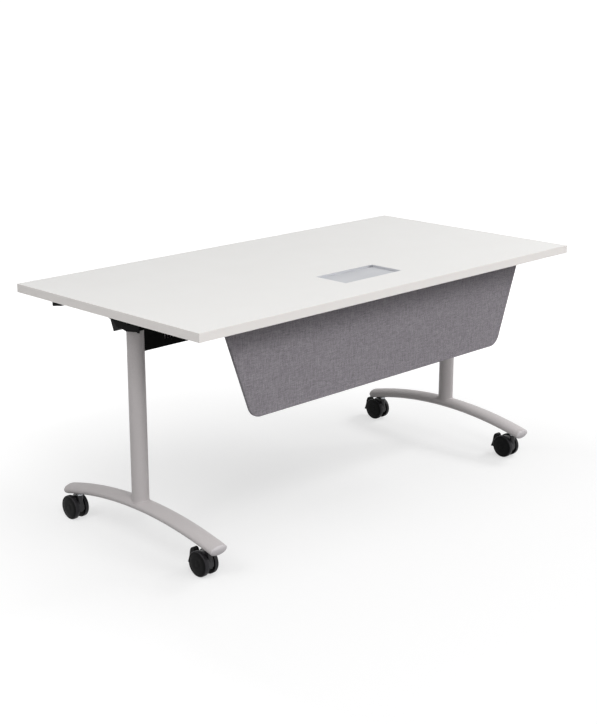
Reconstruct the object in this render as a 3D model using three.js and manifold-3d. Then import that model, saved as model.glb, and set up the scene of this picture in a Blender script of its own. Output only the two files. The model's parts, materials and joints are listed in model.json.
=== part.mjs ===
// Flip-top training table: a laminate top that turns on two column legs with arched feet and casters.
// Millimetres, +Z up. The origin is on the floor under the middle of the top.
// +X runs along the table's length, and -Y is the front, where the modesty panel hangs.
import * as THREE from "three";
import { mergeVertices } from "three/addons/utils/BufferGeometryUtils.js";
import Module from "manifold-3d";

const wasm = await Module();
wasm.setup();

// Table top
const TOP_LENGTH = 1600;
const TOP_DEPTH = 800;
const TABLE_HEIGHT = 735;
const TOP_THICKNESS = 25;
const EDGE_BAND = 2;

// Clearances
const SEAT_GAP = 0.3; // between pieces that are fixed together
const PIN_GAP = 0.15; // radial gap of a pin in its hole
const SIDE_GAP = 1; // beside a piece that turns
const LAP = 1; // by which a cutter or a joined solid passes a face

// Power recess in the top
const RECESS_LENGTH = 248;
const RECESS_WIDTH = 123;
const RECESS_SETBACK = 130; // from the front edge of the top
const FRAME_WALL = 2.5;
const FRAME_DROP = 12; // of the frame's wall below the top
const FRAME_FLANGE = 10;
const FRAME_LEDGE = 3;
const LEDGE_THICKNESS = 2.3;
const LEDGE_FRONT_CLEAR = 12; // the ledge stops short of the lid's hinge
const LID_SINK = 6; // of the lid's face below the work surface
const LID_THICKNESS = 3.7;
const LID_GAP = 0.5;
const LID_HINGE_GAP = 1.2;
const LID_PIN_INSET = 2.8;
const LID_PIN_RADIUS = 1.5;
const LID_NOTCH_LENGTH = 16;
const LID_NOTCH_WIDTH = 5;
const BOX_DEPTH = 65;
const BOX_WALL = 1.5;
const OUTLET_LENGTH = 200;
const OUTLET_WIDTH = 43;
const OUTLET_HEIGHT = 31;
const OUTLET_BEVEL = 18;

// Modesty panel
const PANEL_INSET = 80; // of its face behind the front edge
const PANEL_THICKNESS = 10;
const PANEL_TOP_LENGTH = 1290;
const PANEL_BOTTOM_LENGTH = 1088;
const PANEL_DROP = 279; // of its lower edge below the top
const PANEL_TOP_GAP = 8;
const PANEL_CORNER = 45;
const PANEL_HINGE_SPACING = 840;
const PANEL_HINGE_DROP = 13;
const PANEL_PIN_RADIUS = 2.5;
const KNUCKLE_LENGTH = 31;
const KNUCKLE_RADIUS = 5;
const KNUCKLE_STRAP = 45;
const HINGE_EAR = 4;
const HINGE_LEAF_WIDTH = 50;
const HINGE_NOTCH_MARGIN = 6;
const HINGE_PLATE = 2.5;

// Legs
const COLUMN_INSET = 112; // of the column's axis from the end of the top
const COLUMN_DIAMETER = 50;
const COLUMN_WALL = 2;
const COLUMN_TOP_DROP = 58; // of the column's upper end below the top
const FOOT_LENGTH = 680;
const FOOT_WIDTH = 60;
const FOOT_HEIGHT = 31;
const FOOT_WALL = 2;
const FOOT_RADIUS = 1340; // of the arch, at the middle of the section
const CAP_LENGTH = 8;
const CAP_PLUG = 14;
const CAP_PLUG_GAP = 0.6;
const SPIGOT_LENGTH = 40;

// Cross beam
const BEAM_HEIGHT = 60;
const BEAM_WIDTH = 40;
const BEAM_WALL = 2;
const BEAM_GAP = 2; // under the hinge brackets
const SLOT_COUNT = 7;
const SLOT_PITCH = 10;
const SLOT_WIDTH = 5;
const SLOT_HEIGHT = 24;
const SLOT_RISE = 20; // above the beam's lower edge
const SLOT_START = 90; // from the column's axis

// Hinge brackets and release levers
const PIVOT_DROP = 32; // of the flip axis below the top
const PIVOT_RADIUS = 6;
const PIVOT_HEAD_RADIUS = 9;
const PIVOT_HEAD_LENGTH = 3;
const HEAD_RADIUS = 24;
const LUG_RADIUS = 26;
const CHEEK_THICKNESS = 3;
const CHEEK_FRONT = 53;
const CHEEK_REAR = 96;
const CHEEK_DROP = 28; // of its lower edge below the flip axis
const CHEEK_RISE = 6.5; // of its lower edge towards the front
const CHEEK_TAB = 9; // length of the tab under its front corner
const CHEEK_TAB_DROP = 1.7;
const CHEEK_STEP = 4; // behind the flip axis, where the lower edge starts to rise
// Lower edge of its rear arm, behind and above the flip axis
const CHEEK_ARM = [[28, -22.8], [46, -22.8], [60, -8], [90, -1]];
const PLATE_WIDTH = 80;
const PLATE_FRONT = 90;
const PLATE_REAR = 111;
const PLATE_THICKNESS = 3;
const LEVER_PIN_REAR = 66; // behind the flip axis
const LEVER_PIN_RISE = 12; // above the flip axis
const LEVER_PIN_RADIUS = 3;
const LEVER_HUB_RADIUS = 9;
const LEVER_WIDTH = 42;
// Outline of the lever's handle, behind and above its pin
const LEVER_HANDLE = [[-9, 0], [-13, -18], [-17.5, -42], [-11, -48], [4, -53.5], [17, -22], [9, 0]];
const LEVER_TOOTH_DROP = 4; // below the lever's pin
const LEVER_TOOTH_HEIGHT = 6;
const LEVER_TOOTH_GAP = 1.5; // between the latch tooth and the pivot head
const SPRING_TURNS = 4;
const SPRING_PITCH = 2.4;
const SPRING_WIRE = 1.2;
const SPRING_GAP = 0.4; // round the lever's pin
const SPRING_ROOM = 2;

// Nesting bumpers
const BUMPER_LENGTH = 48;
const BUMPER_WIDTH = 18;
const BUMPER_HEIGHT = 16;
const BUMPER_HEEL = 3; // radius of its rear lower edge
const BUMPER_TILT = 5; // rise of its lower face to the nose
const BUMPER_NOSE = 18; // length of its rounded front
const BUMPER_INSET = 20; // of its middle from the end of the top
const BUMPER_REAR = 244; // of its rear face behind the middle of the top

// Casters
const CASTER_SPACING = 589.5; // between the stems of one foot
const CASTER_TRAIL = 25; // from the stem to the axle
const CASTER_WIDTH = 49;
const WHEEL_DIAMETER = 75;
const WHEEL_WIDTH = 14.5;
const WHEEL_BEVEL = 3;
const WHEEL_BORE_DEPTH = 10.5;
const AXLE_RADIUS = 3;
const COWL_RADIUS = 34;
const COWL_ANGLES = [70, 190]; // degrees round the axle, from the rear
const COWL_HUB_RADIUS = 10;
const NECK_RADIUS = 8.5;
const NECK_RISE = 4.2; // above the wheels
const NECK_BOTTOM = 34;
const COLLAR_THICKNESS = 3.5;
const STEM_RADIUS = 5;
const STEM_BOTTOM = 44;
const STEM_GRIP = 21; // of the stem above its collar
const PEDAL_WIDTH = 17;
const PEDAL = {
  toe: [36, -10],
  sole: [47, -16],
  tip: [58, -14],
  front: [50, 3],
  shoulder: [49, 17],
  crownFront: [46, 35],
  crown: [36, 35],
  crownBack: [28, 35],
  back: [26, 24],
  waist: [34, 0],
}; // behind and above the axle
const PEDAL_PIN_RADIUS = 2.5;
const PEDAL_PIN_AT = [33, 22]; // behind and above the axle
const PEDAL_EAR_RADIUS = 6;
const PEDAL_EAR_WIDTH = 7;
const PEDAL_SLOT_MARGIN = 1.5;

// Facets of round pieces
const SIDES = { wheel: 24, column: 24, foot: 16, pin: 16, small: 12 };
const FOOT_STEPS = 12;

// Derived places
const SURFACE = TABLE_HEIGHT;
const UNDERSIDE = TABLE_HEIGHT - TOP_THICKNESS;
const FRONT = -TOP_DEPTH / 2;
const COLUMN_X = TOP_LENGTH / 2 - COLUMN_INSET;
const COLUMN_RADIUS = COLUMN_DIAMETER / 2;
const COLUMN_TOP = UNDERSIDE - COLUMN_TOP_DROP;
const PIVOT_Z = UNDERSIDE - PIVOT_DROP;
const BEAM_TOP = PIVOT_Z - LUG_RADIUS - BEAM_GAP;
const BEAM_BOTTOM = BEAM_TOP - BEAM_HEIGHT;
const CHEEK_INNER = COLUMN_RADIUS + SIDE_GAP;
const CHEEK_OUTER = CHEEK_INNER + CHEEK_THICKNESS;
const PLATE_TOP = UNDERSIDE - SEAT_GAP;
const PLATE_BOTTOM = PLATE_TOP - PLATE_THICKNESS;
const WHEEL_RADIUS = WHEEL_DIAMETER / 2;
const COWL_WIDTH = CASTER_WIDTH - 2 * WHEEL_WIDTH - 2 * SIDE_GAP;
const NECK_TOP = WHEEL_DIAMETER + NECK_RISE;
const COLLAR_TOP = NECK_TOP + SEAT_GAP + COLLAR_THICKNESS;
const STEM_Y = CASTER_SPACING / 2;

// The foot's arch stands on the collars of its two casters.
const FOOT_INNER_ARC = FOOT_RADIUS - FOOT_HEIGHT / 2;
const FOOT_ARC_Z = COLLAR_TOP + SEAT_GAP - Math.sqrt(FOOT_INNER_ARC ** 2 - (STEM_Y + NECK_RADIUS) ** 2);
const FOOT_APEX = FOOT_ARC_Z + FOOT_RADIUS;
const STEM_ARC_Z = FOOT_ARC_Z + Math.sqrt(FOOT_RADIUS ** 2 - STEM_Y ** 2);
const FOOT_ANGLE = Math.asin(FOOT_LENGTH / 2 / Math.hypot(FOOT_RADIUS, CAP_LENGTH))
  - Math.atan2(CAP_LENGTH, FOOT_RADIUS);

const X = new THREE.Vector3(1, 0, 0);
const Y = new THREE.Vector3(0, 1, 0);
const Z = new THREE.Vector3(0, 0, 1);

// Colour, roughness and metalness of each finish.
const FINISHES = {
  laminate: [0xe9e8e6, 0.42, 0],
  band: [0xd8d6d2, 0.5, 0],
  silver: [0xa9a7a6, 0.38, 0.75],
  black_steel: [0x141414, 0.5, 0.35],
  black_plastic: [0x1b1b1c, 0.55, 0],
  lid: [0xc4c6c8, 0.35, 0.8],
  fabric: [0x7d787e, 0.95, 0],
  steel: [0xb8babd, 0.3, 1],
  tread: [0x202022, 0.7, 0],
};

function finish(kind) {
  const [color, roughness, metalness] = FINISHES[kind];
  return new THREE.MeshStandardMaterial({ color, roughness, metalness });
}

function piece(group, name, geometry, kind) {
  const mesh = new THREE.Mesh(geometry, finish(kind));
  mesh.name = name;
  group.add(mesh);
  return mesh;
}

// A closed geometry as a solid for joining and cutting.
function solid(geometry) {
  const bare = geometry.clone();
  bare.deleteAttribute("normal");
  bare.deleteAttribute("uv");
  const merged = mergeVertices(bare, 1e-3);
  const vertProperties = new Float32Array(merged.attributes.position.array);
  const triVerts = new Uint32Array(merged.index.array);
  return new wasm.Manifold(new wasm.Mesh({ numProp: 3, vertProperties, triVerts }));
}

function surface(body) {
  const mesh = body.getMesh();
  const geometry = new THREE.BufferGeometry();
  geometry.setAttribute("position", new THREE.BufferAttribute(mesh.vertProperties, 3));
  geometry.setIndex(new THREE.BufferAttribute(mesh.triVerts, 1));
  geometry.computeVertexNormals();
  return geometry;
}

function join(...geometries) {
  return surface(geometries.map(solid).reduce((sum, next) => sum.add(next)));
}

function cut(geometry, ...tools) {
  return surface(tools.map(solid).reduce((rest, tool) => rest.subtract(tool), solid(geometry)));
}

function box(x0, x1, y0, y1, z0, z1) {
  const made = new THREE.BoxGeometry(Math.abs(x1 - x0), Math.abs(y1 - y0), Math.abs(z1 - z0));
  return made.translate((x0 + x1) / 2, (y0 + y1) / 2, (z0 + z1) / 2);
}

function outline(points) {
  return new THREE.Shape(points.map(([a, b]) => new THREE.Vector2(a, b)));
}

// A (y, z) outline extruded from x0 to x1.
function alongX(shape, x0, x1, curveSegments = 8) {
  const depth = Math.abs(x1 - x0);
  const made = new THREE.ExtrudeGeometry(shape, { depth, bevelEnabled: false, curveSegments });
  made.applyMatrix4(new THREE.Matrix4().makeBasis(Y, Z, X));
  return made.translate(Math.min(x0, x1), 0, 0);
}

// An (x, z) outline extruded from y0 to y1.
function alongY(shape, y0, y1, curveSegments = 8) {
  const depth = Math.abs(y1 - y0);
  const made = new THREE.ExtrudeGeometry(shape, { depth, bevelEnabled: false, curveSegments });
  made.applyMatrix4(new THREE.Matrix4().makeBasis(X, Z, Y.clone().negate()));
  return made.translate(0, Math.max(y0, y1), 0);
}

function rodX(radius, x0, x1, y, z, sides = SIDES.pin) {
  const made = new THREE.CylinderGeometry(radius, radius, Math.abs(x1 - x0), sides);
  return made.rotateZ(-Math.PI / 2).translate((x0 + x1) / 2, y, z);
}

function rodZ(radius, z0, z1, x, y, sides = SIDES.pin) {
  const made = new THREE.CylinderGeometry(radius, radius, z1 - z0, sides);
  return made.rotateX(Math.PI / 2).translate(x, y, (z0 + z1) / 2);
}

// A profile of [radius, height] points turned about Z or X.
function turned(profile, sides, start = 0) {
  return new THREE.LatheGeometry(outline(profile).getPoints(), sides, start);
}

function turnedZ(profile, sides) {
  return turned(profile, sides).rotateX(Math.PI / 2);
}

function turnedX(profile, sides, start = 0) {
  return turned(profile, sides, start).rotateZ(-Math.PI / 2);
}

const table = new THREE.Group();
table.name = "flip_top_training_table";

// Top board and its edge bands
const RECESS_FRONT = FRONT + RECESS_SETBACK;
const RECESS_REAR = RECESS_FRONT + RECESS_WIDTH;
const RECESS_HALF = RECESS_LENGTH / 2;

function tabletop() {
  const group = new THREE.Group();
  const halfX = TOP_LENGTH / 2;
  const halfY = TOP_DEPTH / 2;
  const boardX = halfX - EDGE_BAND;
  const boardY = halfY - EDGE_BAND;
  const board = box(-boardX, boardX, -boardY, boardY, UNDERSIDE, SURFACE);
  const opening = box(-RECESS_HALF, RECESS_HALF, RECESS_FRONT, RECESS_REAR, UNDERSIDE - LAP, SURFACE + LAP);
  piece(group, "top_board", cut(board, opening), "laminate");
  piece(group, "edge_band_front", box(-halfX, halfX, -halfY, -boardY, UNDERSIDE, SURFACE), "band");
  piece(group, "edge_band_rear", box(-halfX, halfX, boardY, halfY, UNDERSIDE, SURFACE), "band");
  piece(group, "edge_band_left", box(-halfX, -boardX, -boardY, boardY, UNDERSIDE, SURFACE), "band");
  piece(group, "edge_band_right", box(boardX, halfX, -boardY, boardY, UNDERSIDE, SURFACE), "band");
  return group;
}

// Power recess: frame, lid on two trunnions, box under the top and its outlet block
function powerRecess() {
  const group = new THREE.Group();
  const outerX = RECESS_HALF - SEAT_GAP;
  const outerFront = RECESS_FRONT + SEAT_GAP;
  const outerRear = RECESS_REAR - SEAT_GAP;
  const innerX = outerX - FRAME_WALL;
  const innerFront = outerFront + FRAME_WALL;
  const innerRear = outerRear - FRAME_WALL;
  const lidTop = SURFACE - LID_SINK;
  const lidBottom = lidTop - LID_THICKNESS;
  const ledgeTop = lidBottom - SEAT_GAP;
  const ledgeBottom = ledgeTop - LEDGE_THICKNESS;
  const frameTop = SURFACE - SEAT_GAP;
  const frameBottom = UNDERSIDE - FRAME_DROP;
  const flangeTop = UNDERSIDE - SEAT_GAP;
  const lidFront = innerFront + LID_HINGE_GAP;
  const lidX = innerX - LID_GAP;
  const lidRear = innerRear - LID_GAP;
  const pinY = lidFront + LID_PIN_INSET;
  const pinZ = (lidTop + lidBottom) / 2;

  const wall = box(-outerX, outerX, outerFront, outerRear, frameBottom, frameTop);
  const flange = box(
    -outerX - FRAME_FLANGE,
    outerX + FRAME_FLANGE,
    outerFront - FRAME_FLANGE,
    outerRear + FRAME_FLANGE,
    flangeTop - FRAME_WALL,
    flangeTop,
  );
  const lidRoom = box(-innerX, innerX, innerFront, innerRear, ledgeTop, SURFACE);
  const boxRoom = box(-innerX, innerX, innerFront, innerRear, frameBottom - LAP, ledgeBottom);
  const throat = box(
    -innerX + FRAME_LEDGE,
    innerX - FRAME_LEDGE,
    innerFront,
    innerRear - FRAME_LEDGE,
    ledgeBottom - LAP,
    ledgeTop + LAP,
  );
  const hingeRoom = box(
    -innerX,
    innerX,
    innerFront,
    innerFront + LEDGE_FRONT_CLEAR,
    ledgeBottom - LAP,
    ledgeTop + LAP,
  );
  const pinHoles = rodX(LID_PIN_RADIUS + PIN_GAP, -RECESS_HALF, RECESS_HALF, pinY, pinZ, SIDES.small);
  const frame = cut(join(wall, flange), lidRoom, boxRoom, throat, hingeRoom, pinHoles);
  piece(group, "recess_frame", frame, "lid");

  const plate = box(-lidX, lidX, lidFront, lidRear, lidBottom, lidTop);
  const pinEnd = innerX + FRAME_WALL / 2;
  const pins = [-1, 1].map((side) =>
    rodX(LID_PIN_RADIUS, side * (lidX - FRAME_WALL), side * pinEnd, pinY, pinZ, SIDES.small),
  );
  const notch = box(
    lidX - LID_NOTCH_LENGTH,
    lidX + LAP,
    lidRear - LID_NOTCH_WIDTH,
    lidRear + LAP,
    lidBottom - LAP,
    lidTop + LAP,
  );
  piece(group, "recess_lid", cut(join(plate, ...pins), notch), "lid");

  const boxX = innerX - SEAT_GAP;
  const boxFront = innerFront + SEAT_GAP;
  const boxRear = innerRear - SEAT_GAP;
  const boxTop = ledgeBottom - SEAT_GAP;
  const boxBottom = boxTop - BOX_DEPTH;
  const floor = boxBottom + BOX_WALL;
  const shell = box(-boxX, boxX, boxFront, boxRear, boxBottom, boxTop);
  const inside = box(
    -boxX + BOX_WALL,
    boxX - BOX_WALL,
    boxFront + BOX_WALL,
    boxRear - BOX_WALL,
    floor,
    boxTop + LAP,
  );
  piece(group, "power_box", cut(shell, inside), "black_steel");

  const outletFront = boxFront + BOX_WALL + SEAT_GAP;
  const outletRear = outletFront + OUTLET_WIDTH;
  const outletBottom = floor + SEAT_GAP;
  const outletTop = outletBottom + OUTLET_HEIGHT;
  const profile = outline([
    [outletFront, outletBottom],
    [outletRear, outletBottom],
    [outletRear, outletTop - OUTLET_BEVEL],
    [outletRear - OUTLET_BEVEL, outletTop],
    [outletFront, outletTop],
  ]);
  piece(group, "outlet_block", alongX(profile, -OUTLET_LENGTH / 2, OUTLET_LENGTH / 2), "black_plastic");
  return group;
}

// Modesty panel with its hinges
function modestyPanel() {
  const group = new THREE.Group();
  const face = FRONT + PANEL_INSET;
  const back = face + PANEL_THICKNESS;
  const middle = (face + back) / 2;
  const top = UNDERSIDE - PANEL_TOP_GAP;
  const bottom = UNDERSIDE - PANEL_DROP;
  const topHalf = PANEL_TOP_LENGTH / 2;
  const bottomHalf = PANEL_BOTTOM_LENGTH / 2;
  const axisZ = UNDERSIDE - PANEL_HINGE_DROP;
  const pinRoom = PANEL_PIN_RADIUS + PIN_GAP;
  const knuckleHalf = KNUCKLE_LENGTH / 2;
  const earInner = knuckleHalf + SIDE_GAP / 2;
  const earOuter = earInner + HINGE_EAR;
  const notchHalf = earOuter + HINGE_NOTCH_MARGIN;
  const notchBottom = axisZ - KNUCKLE_RADIUS - HINGE_NOTCH_MARGIN;

  // The rounded lower corners start where the fillet touches each straight side.
  const lean = Math.atan2(topHalf - bottomHalf, top - bottom);
  const reach = PANEL_CORNER * Math.tan((Math.PI / 2 - lean) / 2);
  const shape = new THREE.Shape();
  shape.moveTo(-topHalf, top);
  shape.lineTo(-bottomHalf - reach * Math.sin(lean), bottom + reach * Math.cos(lean));
  const cornerX = bottomHalf - reach;
  const cornerZ = bottom + PANEL_CORNER;
  shape.absarc(-cornerX, cornerZ, PANEL_CORNER, Math.PI + lean, 1.5 * Math.PI, false);
  shape.absarc(cornerX, cornerZ, PANEL_CORNER, -Math.PI / 2, -lean, false);
  shape.lineTo(topHalf, top);
  const notches = [-1, 1].map((side) => {
    const x = (side * PANEL_HINGE_SPACING) / 2;
    return box(x - notchHalf, x + notchHalf, face - LAP, back + LAP, notchBottom, top + LAP);
  });
  piece(group, "modesty_panel", cut(alongY(shape, face, back, 5), ...notches), "fabric");

  [["left", -1], ["right", 1]].forEach(([place, side]) => {
    const hinge = new THREE.Group();
    hinge.position.x = (side * PANEL_HINGE_SPACING) / 2;
    group.add(hinge);

    const plateTop = UNDERSIDE - SEAT_GAP;
    const plateBottom = plateTop - HINGE_PLATE;
    const leafHalf = HINGE_LEAF_WIDTH / 2;
    const leaf = box(-earOuter, earOuter, middle - leafHalf, middle + leafHalf, plateBottom, plateTop);
    const earShape = outline([
      [middle - KNUCKLE_RADIUS, plateBottom + LAP],
      [middle - KNUCKLE_RADIUS, axisZ - KNUCKLE_RADIUS],
      [middle + KNUCKLE_RADIUS, axisZ - KNUCKLE_RADIUS],
      [middle + KNUCKLE_RADIUS, plateBottom + LAP],
    ]);
    const ears = [-1, 1].map((end) => alongX(earShape, end * earInner, end * earOuter));
    const pin = rodX(PANEL_PIN_RADIUS, -earInner - LAP, earInner + LAP, middle, axisZ, SIDES.small);
    piece(hinge, `panel_hinge_${place}`, join(leaf, ...ears, pin), "black_steel");

    const strapFront = back + SEAT_GAP;
    const strapBack = strapFront + HINGE_PLATE;
    const barrel = rodX(KNUCKLE_RADIUS, -knuckleHalf, knuckleHalf, middle, axisZ, SIDES.small);
    const strap = box(
      -knuckleHalf,
      knuckleHalf,
      strapFront,
      strapBack,
      axisZ - KNUCKLE_STRAP,
      axisZ + KNUCKLE_RADIUS / 2,
    );
    const bridge = box(
      -knuckleHalf,
      knuckleHalf,
      middle,
      strapBack,
      axisZ - KNUCKLE_RADIUS / 2,
      axisZ + KNUCKLE_RADIUS / 2,
    );
    const bore = rodX(pinRoom, -KNUCKLE_LENGTH, KNUCKLE_LENGTH, middle, axisZ, SIDES.small);
    piece(hinge, `panel_knuckle_${place}`, cut(join(barrel, strap, bridge), bore), "black_steel");
  });
  return group;
}

// Foot section swept along the arch, grown on every side by a margin.
class FootArch extends THREE.Curve {
  getPoint(t, target = new THREE.Vector3()) {
    const angle = (2 * t - 1) * FOOT_ANGLE;
    return target.set(0, FOOT_RADIUS * Math.sin(angle), FOOT_ARC_Z + FOOT_RADIUS * Math.cos(angle));
  }
}

function footOval(margin) {
  const shape = new THREE.Shape();
  return shape.absellipse(0, 0, FOOT_WIDTH / 2 + margin, FOOT_HEIGHT / 2 + margin, 0, 2 * Math.PI);
}

function footSweep(shape) {
  const options = { steps: FOOT_STEPS, extrudePath: new FootArch(), curveSegments: SIDES.foot / 2 };
  return new THREE.ExtrudeGeometry(shape, options);
}

function footCap() {
  const dome = new THREE.Shape();
  dome.moveTo(0, SEAT_GAP);
  dome.lineTo(FOOT_WIDTH / 2, SEAT_GAP);
  dome.absellipse(0, SEAT_GAP, FOOT_WIDTH / 2, CAP_LENGTH - SEAT_GAP, 0, Math.PI / 2);
  const plugX = FOOT_WIDTH / 2 - FOOT_WALL - CAP_PLUG_GAP;
  const plugZ = FOOT_HEIGHT / 2 - FOOT_WALL - CAP_PLUG_GAP;
  const plug = [
    [0, -CAP_PLUG],
    [plugX, -CAP_PLUG],
    [plugX, 2 * SEAT_GAP],
    [0, 2 * SEAT_GAP],
  ];
  const domeBody = new THREE.LatheGeometry(dome.getPoints(2), SIDES.foot);
  domeBody.scale(1, 1, FOOT_HEIGHT / FOOT_WIDTH);
  return join(domeBody, turned(plug, SIDES.foot).scale(1, 1, plugZ / plugX));
}

// Leg: column, arched foot with its caps, pivot head and pivot pin
function leg(place, side) {
  const group = new THREE.Group();
  group.position.x = side * COLUMN_X;

  const tube = cut(
    rodZ(COLUMN_RADIUS, FOOT_APEX, COLUMN_TOP, 0, 0, SIDES.column),
    rodZ(COLUMN_RADIUS - COLUMN_WALL, FOOT_APEX - LAP, COLUMN_TOP + LAP, 0, 0, SIDES.column),
    footSweep(footOval(SEAT_GAP)),
  );
  piece(group, `column_${place}`, tube, "silver");

  const section = footOval(0);
  section.holes.push(footOval(-FOOT_WALL));
  const stemHoles = [-1, 1].map((end) =>
    rodZ(STEM_RADIUS + SEAT_GAP, 0, STEM_ARC_Z, 0, end * STEM_Y),
  );
  piece(group, `foot_${place}`, cut(footSweep(section), ...stemHoles), "silver");

  [["front", -1], ["rear", 1]].forEach(([end, sign]) => {
    const cap = piece(group, `foot_cap_${place}_${end}`, footCap(), "silver");
    const y = sign * FOOT_RADIUS * Math.sin(FOOT_ANGLE);
    cap.position.set(0, y, FOOT_ARC_Z + FOOT_RADIUS * Math.cos(FOOT_ANGLE));
    cap.rotation.set(-sign * FOOT_ANGLE, 0, sign > 0 ? 0 : Math.PI);
  });

  const headBottom = COLUMN_TOP + SEAT_GAP;
  const headShape = new THREE.Shape();
  headShape.moveTo(-HEAD_RADIUS, headBottom);
  headShape.lineTo(HEAD_RADIUS, headBottom);
  headShape.absarc(0, PIVOT_Z, HEAD_RADIUS, 0, Math.PI, false);
  const spigotRadius = COLUMN_RADIUS - COLUMN_WALL - SEAT_GAP;
  const head = cut(
    join(
      alongX(headShape, -COLUMN_RADIUS, COLUMN_RADIUS, 6),
      rodZ(spigotRadius, COLUMN_TOP - SPIGOT_LENGTH, headBottom + LAP, 0, 0, SIDES.column),
    ),
    rodX(PIVOT_RADIUS + PIN_GAP, -COLUMN_DIAMETER, COLUMN_DIAMETER, 0, PIVOT_Z),
  );
  piece(group, `pivot_head_${place}`, head, "black_steel");

  const grip = CHEEK_OUTER + SEAT_GAP;
  const end = grip + PIVOT_HEAD_LENGTH;
  const pinProfile = [
    [0, -end],
    [PIVOT_HEAD_RADIUS, -end],
    [PIVOT_HEAD_RADIUS, -grip],
    [PIVOT_RADIUS, -grip],
    [PIVOT_RADIUS, grip],
    [PIVOT_HEAD_RADIUS, grip],
    [PIVOT_HEAD_RADIUS, end],
    [0, end],
  ];
  piece(group, `pivot_pin_${place}`, turnedX(pinProfile, SIDES.pin).translate(0, 0, PIVOT_Z), "black_steel");
  return group;
}

// Cross beam between the columns, with a row of slots in its front wall near each end
function crossBeam() {
  const group = new THREE.Group();
  const halfY = BEAM_WIDTH / 2;
  const outer = box(-COLUMN_X, COLUMN_X, -halfY, halfY, BEAM_BOTTOM, BEAM_TOP);
  const inner = box(
    -COLUMN_X - LAP,
    COLUMN_X + LAP,
    -halfY + BEAM_WALL,
    halfY - BEAM_WALL,
    BEAM_BOTTOM + BEAM_WALL,
    BEAM_TOP - BEAM_WALL,
  );
  const slotBottom = BEAM_BOTTOM + SLOT_RISE;
  const tools = [inner];
  for (const side of [-1, 1]) {
    tools.push(
      rodZ(COLUMN_RADIUS + SEAT_GAP, BEAM_BOTTOM - LAP, BEAM_TOP + LAP, side * COLUMN_X, 0, SIDES.column),
    );
    for (let i = 0; i < SLOT_COUNT; i += 1) {
      const x = side * (COLUMN_X - SLOT_START - i * SLOT_PITCH);
      const half = SLOT_WIDTH / 2;
      tools.push(box(x - half, x + half, -BEAM_WIDTH, 0, slotBottom, slotBottom + SLOT_HEIGHT));
    }
  }
  piece(group, "cross_beam", cut(outer, ...tools), "black_steel");
  return group;
}

// Coil of round wire about X, and the least gap between points a turn apart
class Coil extends THREE.Curve {
  constructor(radius, pitch, turns) {
    super();
    Object.assign(this, { radius, pitch, turns });
  }

  getPoint(t, target = new THREE.Vector3()) {
    const angle = 2 * Math.PI * this.turns * t;
    const x = this.pitch * this.turns * (t - 0.5);
    return target.set(x, this.radius * Math.cos(angle), this.radius * Math.sin(angle));
  }
}

const COIL_STEPS = 8; // in one turn
const COIL_SIDES = 5;

function leverSpring() {
  const radius = LEVER_PIN_RADIUS + SPRING_GAP + SPRING_WIRE / 2;
  const coil = new Coil(radius, SPRING_PITCH, SPRING_TURNS);
  const wire = outline(
    Array.from({ length: COIL_SIDES }, (_, i) => {
      const angle = (2 * Math.PI * i) / COIL_SIDES;
      return [(SPRING_WIRE / 2) * Math.cos(angle), (SPRING_WIRE / 2) * Math.sin(angle)];
    }),
  );
  const options = { steps: SPRING_TURNS * COIL_STEPS, extrudePath: coil };
  return new THREE.ExtrudeGeometry(wire, options);
}

function leastSpringGap() {
  const coil = new Coil(LEVER_PIN_RADIUS + SPRING_GAP + SPRING_WIRE / 2, SPRING_PITCH, SPRING_TURNS);
  const points = coil.getPoints(SPRING_TURNS * COIL_STEPS);
  let least = Infinity;
  points.forEach((a, i) => {
    points.slice(i + COIL_STEPS / 2).forEach((b) => {
      least = Math.min(least, a.distanceTo(b) - SPRING_WIRE);
    });
  });
  return least;
}

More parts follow.
